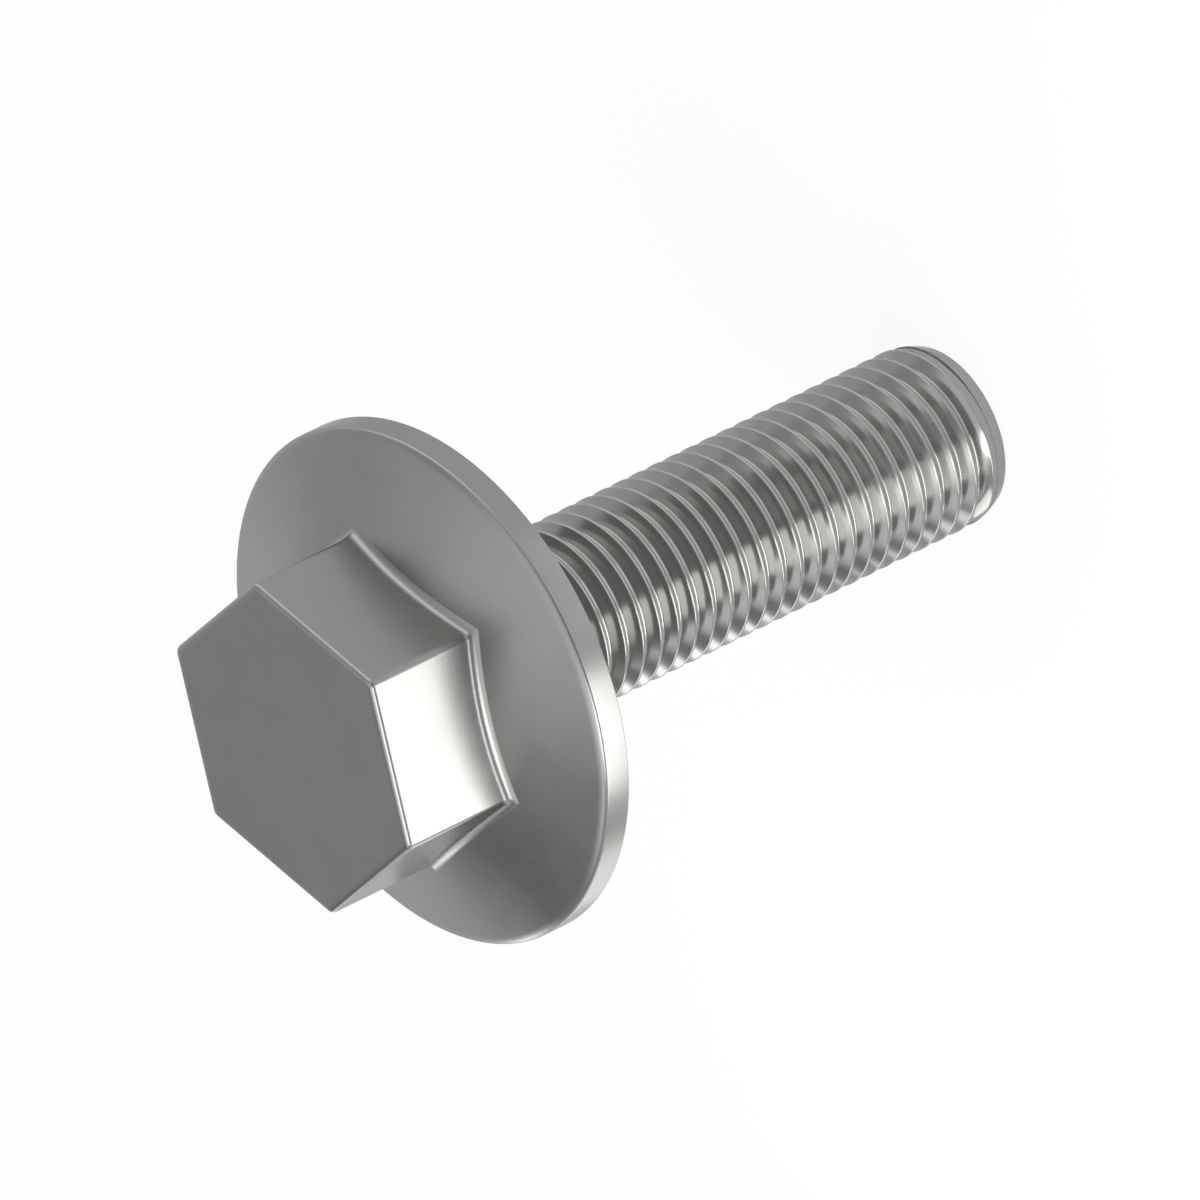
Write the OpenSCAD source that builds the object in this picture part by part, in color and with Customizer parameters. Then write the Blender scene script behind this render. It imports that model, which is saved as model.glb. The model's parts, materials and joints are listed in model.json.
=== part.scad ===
// Hexagon head self-tapping screw with a wide conical flange and a flat chamfered end.
// One solid piece of steel. Millimetres, +Z up along the screw axis, head at the top.
// The origin is the centre of the bearing face under the flange, and the screw
// stands on its flat end, which lies at -screw_length.

/* [Thread] */
// Outside diameter of the thread and of the plain neck
thread_d = 10; // [6:0.5:16]
// Distance between neighbouring thread crests
pitch = 1.21; // [0.8:0.01:2]
// Width of the flat on the thread crest
crest_flat = 0.16; // [0.05:0.01:0.25]
// Width of the flat at the thread root
root_flat = 0.27; // [0.1:0.01:0.35]
// Angle between the two flanks of the thread
flank_angle = 60; // [50:1:75]
// Height of a crest's middle on the +X side, from which the other crests follow
crest_start = -0.45; // [-3:0.05:0]
// Straight pieces that stand for one turn of the thread
segments = 36; // [24:2:40]

/* [Shank] */
// Length from the bearing face to the flat end
screw_length = 34.75; // [20:0.25:50]
// Length of the plain neck between the flange and the thread
neck_length = 2.4; // [1.5:0.1:6]
// Radius of the fillet between the bearing face and the neck
neck_fillet = 0.4; // [0.2:0.05:0.8]
// Length over which the thread runs out below the neck
runout_length = 0.9; // [0.4:0.1:2]
// Length of the plain band at the end of the screw
end_band = 0.1; // [0.1:0.05:3]
// How much smaller the plain end band is than the thread, on radius
end_relief = 0.12; // [0:0.01:0.3]
// Length of the chamfer at the flat end, along the axis
end_chamfer_length = 0.75; // [0.2:0.05:1]
// Width of the chamfer at the flat end, on radius
end_chamfer_width = 0.28; // [0.1:0.02:0.8]

/* [Flange] */
// Outside diameter of the flange
flange_d = 28.6; // [22:0.1:36]
// Thickness of the flange at its rim
rim_thickness = 1.58; // [0.8:0.02:3]
// Slope of the cone on the head side of the flange
flange_slope = 22; // [10:1:30]
// Radius of the rounded edge between the rim and the cone
rim_radius = 0.25; // [0.05:0.01:0.35]
// Radius of the small round between the rim and the bearing face
lower_rim_radius = 0.06; // [0.02:0.01:0.3]

/* [Hexagon] */
// Width of the hexagon across its flats
across_flats = 16; // [13:0.5:18]
// Height from the bearing face to the top of the head
head_height = 10.5; // [9:0.25:14]
// Width of the bevel round the top of the hexagon
top_bevel = 0.2; // [0.1:0.05:0.6]
// Radius of the rounded upright edges of the hexagon
corner_radius = 0.3; // [0.1:0.05:0.6]
// Width of the rounded foot where the hexagon meets the flange
foot_width = 0.45; // [0.2:0.05:0.8]
// Straight pieces along the foot of each flat
foot_steps = 8; // [4:1:10]

/* [Hidden] */

// How far hidden ends reach into the metal that they join
sink = 0.3;
// How far the rounded bar stands over the flats that trim it
trim = 0.005;
// Straight pieces in each small rounded edge
round_steps = 5;

// Thread form, worked out from the flats and the flank angle
flank_length = (pitch - crest_flat - root_flat) / 2;
thread_depth = flank_length / tan(flank_angle / 2);
major_r = thread_d / 2;
core_r = major_r - thread_depth;
band_r = major_r - end_relief;

// Heights along the shank, all below the bearing face
neck_end = -neck_length - thread_depth;
band_top = -screw_length + end_chamfer_length + end_band;
rod_low = band_top - sink;
rod_high = neck_end + sink;

// Flange and hexagon
flange_r = flange_d / 2;
flat_r = across_flats / 2;

// Height of the flange's cone at a distance r from the axis
function cone_z(r) = rim_thickness + (flange_r - r) * tan(flange_slope);

// Points of an arc round c, from angle a0 to angle a1
function arc(c, r, a0, a1, steps) =
    [for (i = [0:steps]) let (a = a0 + (a1 - a0) * i / steps) c + r * [cos(a), sin(a)]];

// A point turned round the screw axis
function turned(p, a) = [p.x * cos(a) - p.y * sin(a), p.x * sin(a) + p.y * cos(a), p.z];

// Crest radius of the thread at height z: it sinks into the end band and runs out below the neck
function crest_r(z) = lookup(z, [
    [rod_low, core_r],
    [band_top, band_r - end_relief],
    [band_top + pitch / 2, major_r],
    [neck_end - runout_length, major_r],
    [neck_end, core_r]
]);

// The flange and the plain neck, turned as one profile
module flange_and_neck() {
    // The upper edge is tangent to the cone, the lower edge to the bearing face
    upper = [flange_r - rim_radius, cone_z(flange_r) - rim_radius];
    lower = [flange_r - lower_rim_radius, lower_rim_radius];
    fillet = [major_r + neck_fillet, -neck_fillet];
    rotate_extrude($fn = 96)
        polygon(concat(
            [[0, cone_z(0)]],
            arc(upper, rim_radius, 90 - flange_slope, 0, round_steps),
            arc(lower, lower_rim_radius, 0, -90, round_steps),
            arc(fillet, neck_fillet, 90, 180, round_steps),
            [
                [major_r, -neck_length],
                [core_r + end_relief, neck_end],
                [0, neck_end]
            ]
        ));
}

// The plain end of the shank: flat end face, chamfer, band, and a last flank that meets the thread
module plain_end() {
    rotate_extrude($fn = 96)
        polygon([
            [0, -screw_length],
            [band_r - end_chamfer_width, -screw_length],
            [band_r, -screw_length + end_chamfer_length],
            [band_r, band_top],
            [core_r - sink, band_top + (band_r - core_r + sink) * tan(flank_angle / 2)],
            [0, band_top + (band_r - core_r + sink) * tan(flank_angle / 2)]
        ]);
}

// One pair of opposite flats, with the bevel of the top edge
module flat_pair() {
    rotate([90, 0, 0])
        linear_extrude(height = 4 * flat_r, center = true)
            polygon([
                [-flat_r, rim_thickness],
                [flat_r, rim_thickness],
                [flat_r, head_height - top_bevel],
                [flat_r - top_bevel, head_height],
                [top_bevel - flat_r, head_height],
                [-flat_r, head_height - top_bevel]
            ]);
}

// Six-sided bar with rounded upright edges, a little over size so that the flats trim it
module rounded_bar() {
    corner = (flat_r + trim - corner_radius) / cos(30);
    linear_extrude(height = head_height)
        polygon([
            for (k = [0:5])
                each arc(
                    corner * [cos(60 * k + 30), sin(60 * k + 30)],
                    corner_radius,
                    60 * k,
                    60 * k + 60,
                    round_steps
                )
        ]);
}

// The hexagon is what the bar and the three pairs of flats have in common
module hexagon() {
    intersection() {
        rounded_bar();
        flat_pair();
        rotate([0, 0, 60]) flat_pair();
        rotate([0, 0, 120]) flat_pair();
    }
}

// The foot of the hexagon follows the curve where each flat meets the cone. Its section at a
// share w of the half flat, from -1 at one corner to 1 at the next, curves from a point on
// the flat to a point on the cone, and its two ends and its back are sunk in the metal.
function foot_point(w, x, z) = [x, w * x * tan(30), z];
function on_cone(w, x) = cone_z(x * norm([1, w * tan(30)]));
function blend(a, b, c, s) = (1 - s) * (1 - s) * a + 2 * s * (1 - s) * b + s * s * c;
function foot_section(w) =
    let (
        corner = foot_point(w, flat_r, on_cone(w, flat_r)),
        top = corner + [0, 0, foot_width],
        toe = foot_point(w, flat_r + foot_width, on_cone(w, flat_r + foot_width)),
        inner = blend(top, corner, toe, 1 / 3),
        outer = blend(top, corner, toe, 2 / 3),
        back = foot_point(w, flat_r - sink, on_cone(w, flat_r) - 2 * sink)
    )
    [top + (top - inner) / 2, inner, outer, toe + (toe - outer) / 4, back];

module foot() {
    sections = [
        for (k = [0:5])
            for (i = [0:foot_steps - 1])
                [for (p = foot_section(2 * i / foot_steps - 1)) turned(p, 60 * k)]
    ];
    n = len(sections);
    m = len(sections[0]);
    faces = [
        for (i = [0:n - 1])
            for (k = [0:m - 1])
                let (
                    i2 = (i + 1) % n,
                    k2 = (k + 1) % m,
                    a = i * m + k,
                    b = i2 * m + k,
                    c = i2 * m + k2,
                    d = i * m + k2
                )
                    each [[a, b, c], [a, c, d]]
    ];
    polyhedron(points = [for (s = sections) each s], faces = faces, convexity = 6);
}

// The threaded rod is a grid of points on the thread surface. Each column of points runs up
// the rod, and the next column lies one step further round and one step of the pitch higher.
offsets = [0, root_flat, root_flat + flank_length, root_flat + flank_length + crest_flat];
crest_offset = (offsets[2] + offsets[3]) / 2;
turns_below = ceil((crest_start - rod_low) / pitch) + 1;
turns = turns_below + ceil((rod_high - crest_start) / pitch) + 2;
rows = 4 * turns;

function point_z(j, n) =
    crest_start + pitch * (j / segments + floor(n / 4) - turns_below) + offsets[n % 4] - crest_offset;
function point_r(z, n) = n % 4 < 2 ? core_r : max(core_r, crest_r(z));
function rod_point(j, n) =
    let (
        z = min(max(point_z(j, n), rod_low), rod_high),
        a = 360 * j / segments,
        r = point_r(z, n)
    )
    [r * cos(a), r * sin(a), z];

module threaded_rod() {
    // First and last row that each column uses
    first = [for (j = [0:segments - 1]) max([for (n = [0:rows - 1]) if (point_z(j, n) < rod_low) n])];
    last = [for (j = [0:segments - 1]) min([for (n = [0:rows - 1]) if (point_z(j, n) > rod_high) n])];
    function id(j, n) =
        let (k = j % segments, m = j < segments ? n : n + 4)
        k * rows + min(max(m, first[k]), last[k]);
    points = concat(
        [for (j = [0:segments - 1]) for (n = [0:rows - 1]) rod_point(j, n)],
        [[0, 0, rod_low], [0, 0, rod_high]]
    );
    low_centre = segments * rows;
    high_centre = low_centre + 1;
    sides = [
        for (j = [0:segments - 1])
            for (n = [0:rows - 2])
                let (a = id(j, n), b = id(j + 1, n), c = id(j + 1, n + 1), d = id(j, n + 1))
                    each concat(a == d ? [] : [[a, d, c]], b == c ? [] : [[a, c, b]])
    ];
    ends = [
        for (j = [0:segments - 1])
            each [
                [low_centre, id(j, 0), id(j + 1, 0)],
                [high_centre, id(j + 1, rows - 1), id(j, rows - 1)]
            ]
    ];
    polyhedron(points = points, faces = concat(sides, ends), convexity = 10);
}

module screw() {
    color("silver")
        union() {
            flange_and_neck();
            hexagon();
            foot();
            threaded_rod();
            plain_end();
        }
}

screw();
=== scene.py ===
"""Looks of a hexagon head self-tapping screw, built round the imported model.

The screw stands on its flat end with the head up. Its skin is one closed mesh, laid out as a
grid of columns round the axis and rows from the top of the head down to the flat end. On the
head the columns gather at the rounded corners of the hexagon, on the flange they spread out
evenly, and on the shank the rows follow the helix of the thread.
"""

import json
import math

import bmesh
import bpy
import numpy as np
from mathutils import Matrix, Vector


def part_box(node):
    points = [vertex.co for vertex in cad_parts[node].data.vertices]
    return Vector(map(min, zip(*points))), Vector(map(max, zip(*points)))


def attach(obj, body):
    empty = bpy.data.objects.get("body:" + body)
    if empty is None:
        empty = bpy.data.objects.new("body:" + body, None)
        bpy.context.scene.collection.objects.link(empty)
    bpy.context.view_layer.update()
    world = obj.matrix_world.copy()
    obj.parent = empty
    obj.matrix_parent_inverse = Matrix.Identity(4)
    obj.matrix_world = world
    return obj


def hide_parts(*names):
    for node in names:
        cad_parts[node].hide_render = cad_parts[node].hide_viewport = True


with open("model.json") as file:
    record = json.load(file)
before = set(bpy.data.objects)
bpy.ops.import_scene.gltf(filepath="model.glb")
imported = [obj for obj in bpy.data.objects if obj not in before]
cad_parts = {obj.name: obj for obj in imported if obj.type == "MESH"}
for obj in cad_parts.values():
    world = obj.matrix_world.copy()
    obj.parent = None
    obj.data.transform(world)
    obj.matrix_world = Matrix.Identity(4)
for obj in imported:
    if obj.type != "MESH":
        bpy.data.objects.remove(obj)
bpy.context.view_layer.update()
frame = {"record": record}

MM = 0.001

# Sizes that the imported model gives, in millimetres
mounts = {mount["name"]: mount for mount in frame["record"]["mounts"]}
box_low, box_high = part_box("screw")
head_height = box_high.z / MM
screw_length = -box_low.z / MM
flange_radius = box_high.x / MM
thread_radius = mounts["neck"]["dims"]["r_mm"]
flat_radius = mounts["hex_drive"]["dims"]["r_mm"]

# Sizes of the details, in millimetres. The cone is a little flatter than the solid's and the
# rounded edges are a little larger, as the bright lines along the real edges show them.
PITCH = 1.21
CREST_FLAT = 0.16
ROOT_FLAT = 0.27
FLANK_ANGLE = math.radians(60)
CREST_ROUND = 0.08
ROOT_ROUND = 0.12
NECK_LENGTH = 2.4
NECK_FILLET = 0.4
RUNOUT_LENGTH = 0.9
END_BAND = 0.1
END_RELIEF = 0.12
CHAMFER_LENGTH = 0.75
CHAMFER_WIDTH = 0.28
CHAMFER_ROUND = 0.2
RIM_THICKNESS = 1.58
RIM_WALL_ROUND = 0.16
RIM_CONE_ROUND = 0.48
LOWER_RIM_ROUND = 0.06
FLANGE_SLOPE = math.radians(20.5)
CORNER_ROUND = 0.5
TOP_ROUND = 0.28
FOOT_HEIGHT = 0.42
FOOT_WIDTH = 0.39
# How far the foot's curve is lifted, so that a slight crease stays where it meets the cone
FOOT_STEP = 0.04
FOOT_CORNER = 0.05
# Height of a crest's middle on the +X side
CREST_START = -0.45
# Share of a pitch over which the groove and the crest fade into the end band
GROOVE_FADE = 0.75
CREST_FADE = 0.35

# How finely the skin is divided. Rings and rows are shares of the way across a face.
CORNER_STEPS = 8
FLAT_STEPS = 16
COLUMNS = 6 * (CORNER_STEPS + FLAT_STEPS)
ROUND_STEPS = 5
THREAD_ROUND_STEPS = 3
FOOT_STEPS = 8
TOP_RINGS = (0.3, 0.6, 0.85, 0.97)
FLAT_ROWS = (0.02, 0.25, 0.5, 0.75, 0.98)
CONE_ROWS = 12
BEARING_ROWS = 6
END_RINGS = (0.97, 0.7, 0.35)
# Distance in mm from an edge to the next row, which keeps the face beside the edge flat
HOLD = 0.03
# The same distance as a share of the cone, which is about 6 mm wide
CONE_HOLD = HOLD / 6
# Points of the thread that come closer than this to the neck or to the end band join its ring
JOIN_DISTANCE = HOLD / 3

# Values that follow from the sizes
flank_length = (PITCH - CREST_FLAT - ROOT_FLAT) / 2
thread_depth = flank_length / math.tan(FLANK_ANGLE / 2)
core_radius = thread_radius - thread_depth
band_radius = thread_radius - END_RELIEF
neck_end = -NECK_LENGTH - thread_depth
band_top = -screw_length + CHAMFER_LENGTH + END_BAND
column_angles = np.radians(30 + (np.arange(COLUMNS) - CORNER_STEPS / 2) * 360 / COLUMNS)


def cone_height(radius):
    """Height of the flange's cone at a distance from the axis."""
    return RIM_THICKNESS + (flange_radius - radius) * math.tan(FLANGE_SLOPE)


def mix(a, b, share):
    """Value that lies a share of the way from a to b."""
    return a + (b - a) * share


def smooth(share):
    """Rises from 0 to 1 with level ends."""
    share = np.clip(share, 0, 1)
    return share * share * (3 - 2 * share)


def fillet(corner, before, after, radius, steps=ROUND_STEPS):
    """Points of the arc of that radius that rounds a corner of an outline."""
    corner, before, after = (np.array(p, float) for p in (corner, before, after))
    to_before = (before - corner) / np.linalg.norm(before - corner)
    to_after = (after - corner) / np.linalg.norm(after - corner)
    half = math.acos(np.clip(to_before @ to_after, -1, 1)) / 2
    middle = to_before + to_after
    centre = corner + middle / np.linalg.norm(middle) * radius / math.sin(half)
    start = corner + to_before * radius / math.tan(half) - centre
    stop = corner + to_after * radius / math.tan(half) - centre
    sweep = math.pi - 2 * half
    shares = np.linspace(0, 1, steps + 1)
    return [
        centre + (start * math.sin((1 - s) * sweep) + stop * math.sin(s * sweep)) / math.sin(sweep)
        for s in shares
    ]


def curve(start, corner, stop, steps=ROUND_STEPS):
    """Points of a soft curve that leaves start toward a corner and comes in to stop from it."""
    start, corner, stop = (np.array(p, float) for p in (start, corner, stop))
    return [
        (1 - s) ** 2 * start + 2 * s * (1 - s) * corner + s**2 * stop
        for s in np.linspace(0, 1, steps + 1)
    ]


def hexagon_ring(apothem, corner_radius):
    """Distance from the axis and angle of each column on a hexagon with rounded corners."""
    turn = math.radians(60)
    centre = (apothem - corner_radius) / math.cos(turn / 2)
    bend = np.linspace(-turn / 2, turn / 2, CORNER_STEPS + 1)
    corner = centre + corner_radius * np.exp(1j * bend)
    next_start = corner[0] * np.exp(1j * turn)
    shares = 0.5 - 0.5 * np.cos(np.pi * np.arange(1, FLAT_STEPS) / FLAT_STEPS)
    sector = np.concatenate([corner, mix(corner[-1], next_start, shares)])
    ring = np.concatenate([sector * np.exp(1j * turn * (k + 0.5)) for k in range(6)])
    sector_angles = np.concatenate([np.angle(sector) + turn * (k + 0.5) for k in range(6)])
    return np.abs(ring), sector_angles


def points(radius, angle, height):
    """Corner points of one row, in millimetres."""
    radius, angle, height = np.broadcast_arrays(radius, angle, height)
    return np.stack([radius * np.cos(angle), radius * np.sin(angle), height], axis=1)


def circle_row(radius, height):
    """A round row, with its columns spread evenly."""
    return points(np.full(COLUMNS, radius), column_angles, height)


def hexagon_row(apothem, corner_radius, height):
    """A level row on a hexagon with rounded corners."""
    radius, angle = hexagon_ring(apothem, corner_radius)
    return points(radius, angle, height)


def head_rows():
    """Top face, rounded top edge, flats and curved foot of the hexagon, then the flange's cone."""
    rows = []
    inner_flat = flat_radius - TOP_ROUND
    inner_corner = CORNER_ROUND - TOP_ROUND
    for share in TOP_RINGS:
        rows.append(hexagon_row(inner_flat * share, inner_corner * share, head_height))
    for step in range(ROUND_STEPS + 1):
        bend = math.pi / 2 * step / ROUND_STEPS
        inset = TOP_ROUND * (1 - math.sin(bend))
        drop = TOP_ROUND * (1 - math.cos(bend))
        rows.append(
            hexagon_row(flat_radius - inset, CORNER_ROUND - inset, head_height - drop)
        )

    wall_radius, wall_angle = hexagon_ring(flat_radius, CORNER_ROUND)
    toe_radius, toe_angle = hexagon_ring(flat_radius + FOOT_WIDTH, FOOT_CORNER)
    wall_top = head_height - TOP_ROUND
    foot = cone_height(wall_radius)
    toe = cone_height(toe_radius)
    for share in FLAT_ROWS:
        rows.append(points(wall_radius, wall_angle, mix(wall_top, foot + FOOT_HEIGHT, share)))
    for share in np.linspace(0, 1, FOOT_STEPS + 1):
        apothem = flat_radius + FOOT_WIDTH * share**2
        radius, angle = hexagon_ring(apothem, mix(CORNER_ROUND, FOOT_CORNER, share))
        height = (
            (1 - share) ** 2 * (foot + FOOT_HEIGHT)
            + 2 * share * (1 - share) * (foot + FOOT_STEP)
            + share**2 * toe
        )
        rows.append(points(radius, angle, height))

    rim_start = flange_rim()[0]
    shares = np.concatenate([[CONE_HOLD], np.arange(1, CONE_ROWS) / CONE_ROWS, [1 - CONE_HOLD]])
    for share in shares:
        radius = mix(toe_radius, rim_start[0], share)
        angle = mix(toe_angle, column_angles, share)
        rows.append(points(radius, angle, cone_height(radius)))
    return rows


def flange_rim():
    """Outline of the rim from the cone to the bearing face, with both edges rounded."""
    inner = flange_radius - RIM_CONE_ROUND * math.cos(FLANGE_SLOPE)
    upper = (flange_radius, RIM_THICKNESS)
    lower = (flange_radius, 0)
    upper_edge = curve(
        (inner, cone_height(inner)), upper, (flange_radius, RIM_THICKNESS - RIM_WALL_ROUND)
    )
    lower_edge = fillet(lower, upper, (thread_radius, 0), LOWER_RIM_ROUND)
    return upper_edge + lower_edge


def neck_outline():
    """Outline from the bearing face down the neck to the start of the thread."""
    inner = thread_radius + NECK_FILLET
    outer = flange_rim()[-1][0]
    face = [(r, 0) for r in np.linspace(outer - HOLD, inner + HOLD, BEARING_ROWS)]
    corner = fillet((thread_radius, 0), (outer, 0), (thread_radius, -NECK_LENGTH), NECK_FILLET)
    neck = [
        (thread_radius, -NECK_FILLET - HOLD),
        (thread_radius, -NECK_LENGTH + HOLD),
        (thread_radius, -NECK_LENGTH),
    ]
    return face + corner + neck + [(core_radius, neck_end)]


def end_outline():
    """Outline of the plain band, the chamfer and the flat end face."""
    face = -screw_length
    chamfer_top = (band_radius, face + CHAMFER_LENGTH)
    chamfer_foot = (band_radius - CHAMFER_WIDTH, face)
    band = [
        (band_radius, band_top),
        (band_radius, band_top - HOLD),
        (band_radius, chamfer_top[1] + CHAMFER_ROUND + HOLD),
    ]
    upper = fillet(chamfer_top, (band_radius, band_top), chamfer_foot, CHAMFER_ROUND)
    lower = fillet(chamfer_foot, chamfer_top, (0, face), CHAMFER_ROUND)
    rings = [(lower[-1][0] * share, face) for share in END_RINGS]
    return band + upper + lower + rings


def thread_profile():
    """One pitch of the thread from crest to crest, as distances down the screw and depths."""
    crest_end = (CREST_FLAT / 2, 0)
    root_start = (CREST_FLAT / 2 + flank_length, thread_depth)
    root_middle = (PITCH / 2, thread_depth)
    crest_edge = fillet(crest_end, (0, 0), root_start, CREST_ROUND, THREAD_ROUND_STEPS)
    root_edge = fillet(root_start, crest_end, root_middle, ROOT_ROUND, THREAD_ROUND_STEPS)
    down = [tuple(p) for p in crest_edge + root_edge]
    up = [(PITCH - drop, depth) for drop, depth in reversed(down)]
    return down + up


def thread_grid():
    """Points of the thread for each column and row, and the number of rows in one turn.

    The rows follow the helix: each column starts a little higher than the last one.
    """
    profile = thread_profile()
    turns = math.ceil((neck_end - band_top) / PITCH) + 2
    drops = np.array([PITCH * turn + drop for turn in range(turns) for drop, depth in profile])
    depths = np.array([depth for turn in range(turns) for drop, depth in profile])
    first = CREST_START - PITCH * math.floor((CREST_START - neck_end) / PITCH)
    lead = PITCH * column_angles / (2 * math.pi)
    height = first + lead[:, None] - drops[None, :]
    groove = smooth((height - band_top) / (GROOVE_FADE * PITCH))
    crest = mix(band_radius, thread_radius, smooth((height - band_top) / (CREST_FADE * PITCH)))
    rise = smooth((neck_end - height) / RUNOUT_LENGTH)
    radius = mix(core_radius, crest - groove * depths[None, :], rise)
    angle = column_angles[:, None]
    grid = np.stack([radius * np.cos(angle), radius * np.sin(angle), height], axis=2)
    return grid, len(profile)


def build_skin():
    """The whole skin of the screw as one closed mesh."""
    mesh = bmesh.new()

    def add(row):
        return [mesh.verts.new(Vector(p) * MM) for p in row]

    def bridge(upper, lower):
        for c in range(COLUMNS):
            d = (c + 1) % COLUMNS
            mesh.faces.new((upper[c], lower[c], lower[d], upper[d]))

    above = [add(row) for row in head_rows()]
    above += [add(circle_row(r, z)) for r, z in flange_rim() + neck_outline()]
    below = [add(circle_row(r, z)) for r, z in end_outline()]
    for rows in (above, below):
        for upper, lower in zip(rows, rows[1:]):
            bridge(upper, lower)

    top = mesh.verts.new((0, 0, head_height * MM))
    bottom = mesh.verts.new((0, 0, -screw_length * MM))
    for c in range(COLUMNS):
        d = (c + 1) % COLUMNS
        mesh.faces.new((top, above[0][c], above[0][d]))
        mesh.faces.new((bottom, below[-1][d], below[-1][c]))

    grid, rows_per_turn = thread_grid()
    neck_ring, band_ring = above[-1], below[0]
    threads = []
    for c in range(COLUMNS):
        column = []
        for p in grid[c]:
            if p[2] >= neck_end - JOIN_DISTANCE:
                column.append(neck_ring[c])
            elif p[2] <= band_top + JOIN_DISTANCE:
                column.append(band_ring[c])
            else:
                column.append(mesh.verts.new(Vector(p) * MM))
        threads.append(column)
    # Once round, the rows have risen by one pitch, so the first column follows one turn lower
    threads.append([neck_ring[0]] * rows_per_turn + threads[0])
    for left, right in zip(threads, threads[1:]):
        for n in range(len(left) - 1):
            loop = []
            for vertex in (left[n], left[n + 1], right[n + 1], right[n]):
                if vertex not in loop:
                    loop.append(vertex)
            if len(loop) > 2:
                mesh.faces.new(loop)

    data = bpy.data.meshes.new("steel_screw")
    mesh.to_mesh(data)
    mesh.free()
    data.shade_smooth()
    return data


def srgb(code):
    """Linear colour of an sRGB hex value."""
    parts = [int(code[i : i + 2], 16) / 255 for i in (1, 3, 5)]
    return [c / 12.92 if c <= 0.04045 else ((c + 0.055) / 1.055) ** 2.4 for c in parts] + [1]


def add_node(tree, kind, settings=None, **links):
    """Adds a node with its settings. An input takes a value or another node's output.

    The inputs are given by name, or as i and their number where several share a name.
    """
    node = tree.nodes.new(kind)
    for name, value in (settings or {}).items():
        setattr(node, name, value)
    for name, value in links.items():
        key = int(name[1:]) if name[0] == "i" and name[1:].isdigit() else name.replace("_", " ")
        if isinstance(value, bpy.types.NodeSocket):
            tree.links.new(value, node.inputs[key])
        else:
            node.inputs[key].default_value = value
    return node


def new_material(name):
    """An empty material and its node tree."""
    material = bpy.data.materials.new(name)
    material.use_nodes = True
    material.node_tree.nodes.clear()
    return material, material.node_tree


# Sizes of the marks in the steel, in millimetres: faint clouds, and the grain of the metal,
# which is finer than the picture shows and so stays very weak
CLOUD_SIZE = 3
GRAIN_SIZE = 0.12
GRAIN_DEPTH = 0.01
GRAIN_STRENGTH = 0.01
# Share of the shine that real steel keeps at a grazing view, against a perfect metal
EDGE_SHINE = 0.7


def steel(name, light, dark, roughness):
    """Steel as bare metal, with the marks that its making leaves."""
    material, tree = new_material(name)
    place = add_node(tree, "ShaderNodeTexCoord").outputs["Object"]
    cloud = add_node(
        tree,
        "ShaderNodeTexNoise",
        Vector=place,
        Scale=1 / (CLOUD_SIZE * MM),
        Detail=3.0,
        Roughness=0.55,
    ).outputs["Fac"]
    colour = add_node(
        tree,
        "ShaderNodeMix",
        {"data_type": "RGBA"},
        i0=cloud,
        i6=srgb(dark),
        i7=srgb(light),
    ).outputs[2]
    rough = add_node(
        tree,
        "ShaderNodeMapRange",
        Value=cloud,
        From_Min=0.3,
        From_Max=0.7,
        To_Min=roughness[0],
        To_Max=roughness[1],
    ).outputs["Result"]
    grain = add_node(
        tree,
        "ShaderNodeTexNoise",
        Vector=place,
        Scale=1 / (GRAIN_SIZE * MM),
        Detail=2.0,
    ).outputs["Fac"]
    bump = add_node(
        tree,
        "ShaderNodeBump",
        Height=grain,
        Strength=GRAIN_STRENGTH,
        Distance=GRAIN_DEPTH * MM,
    ).outputs["Normal"]
    shader = add_node(
        tree,
        "ShaderNodeBsdfPrincipled",
        Base_Color=colour,
        Metallic=1.0,
        Specular_Tint=(EDGE_SHINE, EDGE_SHINE, EDGE_SHINE, 1),
        Roughness=rough,
        Normal=bump,
    ).outputs["BSDF"]
    add_node(tree, "ShaderNodeOutputMaterial", Surface=shader)
    return material


def make_screw():
    """The screw in its two steel surfaces: head and neck, then the thread with the end."""
    screw = bpy.data.objects.new("steel_screw", build_skin())
    bpy.context.scene.collection.objects.link(screw)
    # Steel pressed cold in smooth dies: an even satin grey, in which things mirror softly
    head_steel = steel("cold_headed_steel", "#929290", "#8A8A88", (0.25, 0.29))
    # The same steel burnished smoother by the thread rolls, with crisper bright places (real), and
    # its colour painted a little paler than the head's as painted light against the shade the
    # flange casts over the thread
    thread_steel = steel("thread_steel_painted_paler", "#9E9E9C", "#959593", (0.15, 0.2))
    screw.data.materials.append(head_steel)
    screw.data.materials.append(thread_steel)
    for face in screw.data.polygons:
        face.material_index = 1 if face.center.z < -NECK_LENGTH * MM else 0
    even = screw.modifiers.new("even_shading", "WEIGHTED_NORMAL")
    even.mode = "FACE_AREA_WITH_ANGLE"
    even.keep_sharp = False
    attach(screw, "root")
    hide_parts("screw")
    return screw


# The photograph's view: the camera stands 34 degrees above the floor and is rolled, so that the
# screw's head lies at the lower left of the picture. Angles are round the screw from +X.
CAMERA_TURN = math.radians(-97.78)
CAMERA_HEIGHT = math.radians(34.04)
AXIS_TILT = math.radians(26.05)
PICTURE_WIDTH = 61.73 * MM
PICTURE_SHIFT_RIGHT = 8.04 * MM
PICTURE_SHIFT_UP = 3.86 * MM
CAMERA_DISTANCE = 500 * MM


def direction(turn, height):
    """Unit direction at an angle round the screw from +X and an angle above the floor."""
    level = math.cos(height)
    return Vector((level * math.cos(turn), level * math.sin(turn), math.sin(height)))


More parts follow.
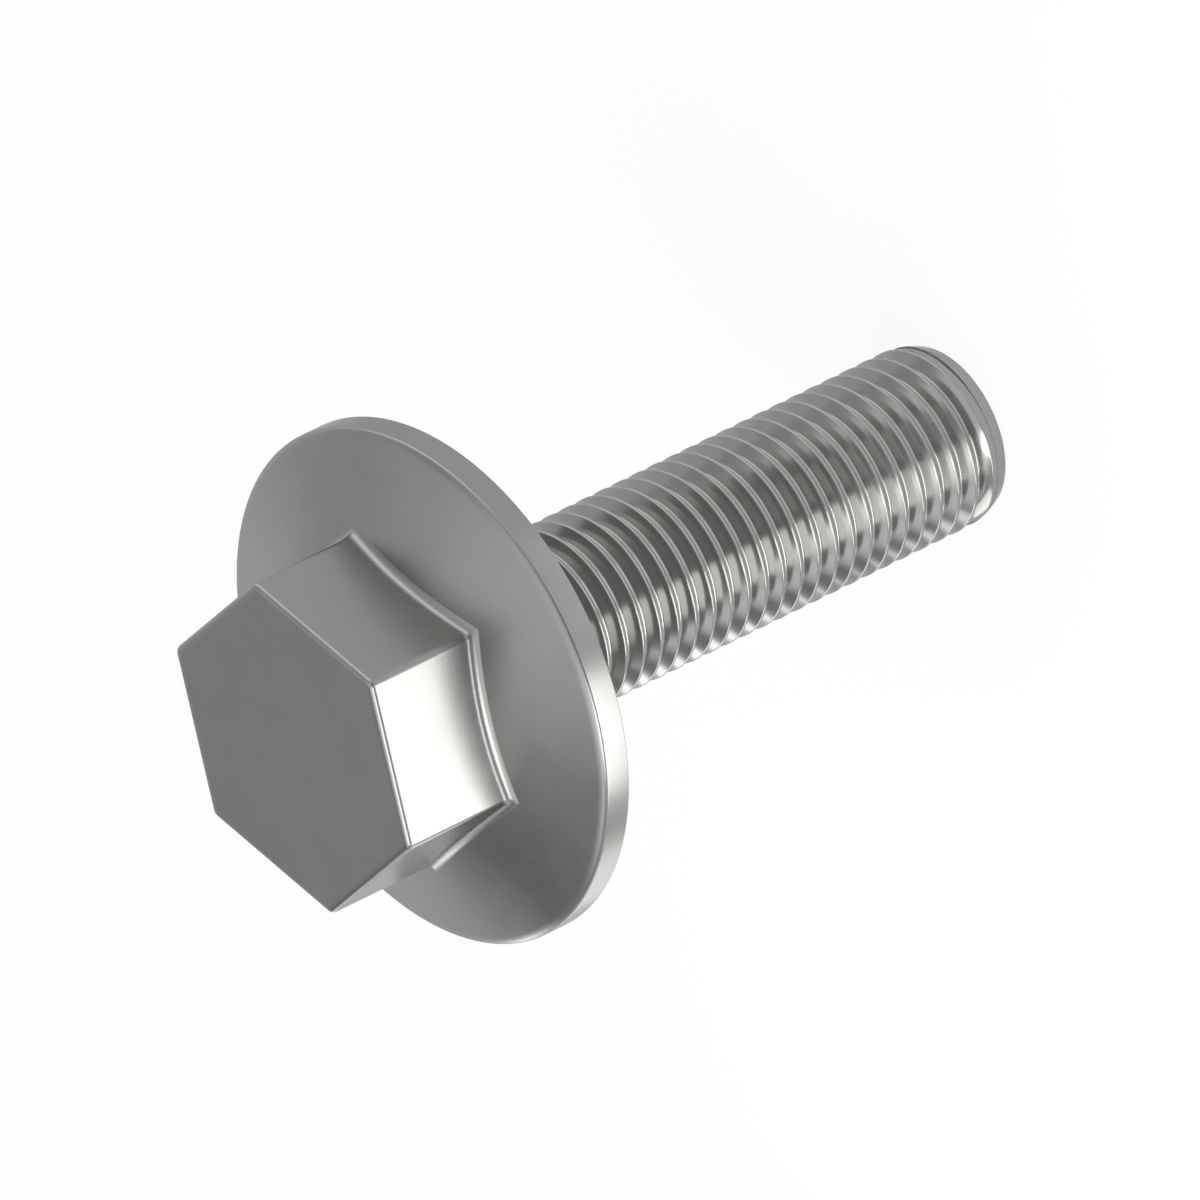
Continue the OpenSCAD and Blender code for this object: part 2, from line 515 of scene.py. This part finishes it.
def make_camera():
    """A parallel view from the photograph's angle."""
    back = direction(CAMERA_TURN, CAMERA_HEIGHT)
    upright = (Vector((0, 0, 1)) - back * back.z).normalized()
    side = back.cross(upright)
    right = side * math.sin(AXIS_TILT) - upright * math.cos(AXIS_TILT)
    up = back.cross(right)
    data = bpy.data.cameras.new("camera")
    data.type = "ORTHO"
    data.ortho_scale = PICTURE_WIDTH
    data.clip_start = 0.01
    data.clip_end = 5
    camera = bpy.data.objects.new("camera", data)
    bpy.context.scene.collection.objects.link(camera)
    target = right * PICTURE_SHIFT_RIGHT + up * PICTURE_SHIFT_UP
    turn = Matrix((right, up, back)).transposed().to_4x4()
    camera.matrix_world = Matrix.Translation(target + back * CAMERA_DISTANCE) @ turn
    bpy.context.scene.camera = camera


FLOOR_REACH = 2000 * MM
# How white the floor shows to the camera and in the metal. The rest is matt paper with the shadow.
FLOOR_GLOW = 0.9


def make_floor():
    """A pale floor under the screw, in matt white paper, which spreads the light evenly."""
    reach = FLOOR_REACH
    data = bpy.data.meshes.new("floor")
    corners = [(-reach, -reach, 0), (reach, -reach, 0), (reach, reach, 0), (-reach, reach, 0)]
    data.from_pydata(corners, [], [(0, 1, 2, 3)])
    floor = bpy.data.objects.new("floor", data)
    floor.location.z = -screw_length * MM
    bpy.context.scene.collection.objects.link(floor)
    material, tree = new_material("white_paper")
    paper = add_node(
        tree, "ShaderNodeBsdfDiffuse", Color=srgb("#F0F0F0"), Roughness=0.0
    ).outputs["BSDF"]
    white = add_node(tree, "ShaderNodeEmission", Color=(1, 1, 1, 1), Strength=1.0)
    path = add_node(tree, "ShaderNodeLightPath").outputs
    seen = path["Is Camera Ray"]
    for ray in ("Is Glossy Ray", "Is Transmission Ray"):
        seen = add_node(
            tree, "ShaderNodeMath", {"operation": "MAXIMUM"}, i0=seen, i1=path[ray]
        ).outputs["Value"]
    share = add_node(tree, "ShaderNodeMath", {"operation": "MULTIPLY"}, i0=seen, i1=FLOOR_GLOW)
    both = add_node(
        tree,
        "ShaderNodeMixShader",
        i0=share.outputs["Value"],
        i1=paper,
        i2=white.outputs["Emission"],
    ).outputs["Shader"]
    add_node(tree, "ShaderNodeOutputMaterial", Surface=both)
    floor.data.materials.append(material)


def lamp(name, turn, reach, height, size, radiance, aim=None):
    """A soft box of an even brightness.

    turn counts in degrees from the camera toward the right of the picture. reach and height
    are in mm from the screw's axis and its bearing face. The box faces level unless it is
    aimed at another height.
    """
    data = bpy.data.lights.new(name, "AREA")
    data.shape = "RECTANGLE"
    data.size, data.size_y = (side * MM for side in size)
    data.energy = radiance * math.pi * data.size * data.size_y
    light = bpy.data.objects.new(name, data)
    level = direction(CAMERA_TURN - math.radians(turn), 0)
    light.location = (level * reach + Vector((0, 0, height))) * MM
    away = light.location - Vector((0, 0, (height if aim is None else aim) * MM))
    light.rotation_mode = "QUATERNION"
    light.rotation_quaternion = away.to_track_quat("Z", "Y")
    light.visible_camera = False
    bpy.context.scene.collection.objects.link(light)


def make_lights():
    """Soft boxes round the screw, each for one of the bright shapes in the metal."""
    # The bright flat of the hexagon and the rim below it
    lamp("low_soft_box", 47.5, 61, -22, (54, 25), 4.3)
    # The main light on the floor, and gleams along the foot and the edges of the hexagon
    lamp("high_soft_box", 50, 84, 72, (46, 50), 4.5, aim=5)
    # The right end of the rim, and the lower side of the thread
    lamp("side_soft_box", 115, 51, -20, (36, 29), 1.8)
    lamp("narrow_soft_box", 139, 54, 6, (8, 24), 3.0)
    # A weak gleam on the near part of the rim
    lamp("front_soft_box", -10, 47, -29, (34, 11), 0.8)


def room_factor(tree, place, turn, height, inner, outer, strength):
    """A factor that goes from strength inside one angle of a direction to 1 beyond another."""
    middle = direction(CAMERA_TURN - math.radians(turn), math.radians(height))
    toward = add_node(
        tree,
        "ShaderNodeVectorMath",
        {"operation": "DOT_PRODUCT"},
        i0=place,
        i1=middle,
    ).outputs["Value"]
    return add_node(
        tree,
        "ShaderNodeMapRange",
        {"interpolation_type": "SMOOTHSTEP"},
        Value=toward,
        From_Min=math.cos(math.radians(outer)),
        From_Max=math.cos(math.radians(inner)),
        To_Min=1.0,
        To_Max=strength,
    ).outputs["Result"]


# Brightness of the room by the sine of the angle above the horizon
ROOM = (
    (0.0, 1.3),
    (0.24, 1.0),
    (0.5, 0.72),
    (0.68, 0.75),
    (0.81, 0.92),
    (0.91, 1.12),
    (1.0, 1.28),
)
# A colour ramp holds values up to 1, so the room is drawn this much darker and then raised again
ROOM_RANGE = 2.0
# Darker and brighter places of the room, all angles in degrees: turn from the camera, height,
# angle from the middle up to which the place is full, angle at which it ends, and strength
ROOM_PLACES = (
    # Dark corner behind on the right, which shades the right side of the cone
    (140, 42, 10, 38, 0.42),
    # Dark low front, for the dark lines along the rounded edges
    (15, 5, 15, 50, 0.45),
    # High window on the right, for the bright band along the thread
    (95, 63, 4, 20, 2.1),
    # Pale wall on the left, for the bright lines along the left edges
    (-80, 0, 15, 45, 1.8),
    # Dark flag above on the left, for the upper side of the thread
    (-110, 56, 5, 18, 0.62),
    # Small pale card behind on the right, for the lower side of the thread
    (122, 45, 5, 14, 4.0),
)


def make_world():
    """A pale room with darker and brighter places, as a photographer's flags and cards make."""
    world = bpy.data.worlds.new("studio")
    bpy.context.scene.world = world
    world.use_nodes = True
    tree = world.node_tree
    tree.nodes.clear()
    place = add_node(tree, "ShaderNodeTexCoord").outputs["Generated"]
    height = add_node(tree, "ShaderNodeSeparateXYZ", Vector=place).outputs["Z"]
    ramp = add_node(tree, "ShaderNodeValToRGB", Fac=height)
    stops = ramp.color_ramp.elements
    while len(stops) < len(ROOM):
        stops.new(0.5)
    for stop, (position, level) in zip(stops, ROOM):
        grey = level / ROOM_RANGE
        stop.position, stop.color = position, (grey, grey, grey, 1)
    strength = ROOM_RANGE
    for values in ROOM_PLACES:
        factor = room_factor(tree, place, *values)
        strength = add_node(
            tree, "ShaderNodeMath", {"operation": "MULTIPLY"}, i0=strength, i1=factor
        ).outputs["Value"]
    light = add_node(
        tree,
        "ShaderNodeBackground",
        Color=ramp.outputs["Color"],
        Strength=strength,
    ).outputs["Background"]
    add_node(tree, "ShaderNodeOutputWorld", Surface=light)


make_screw()
make_camera()
make_floor()
make_lights()
make_world()
bpy.context.scene.view_settings.view_transform = "Standard"
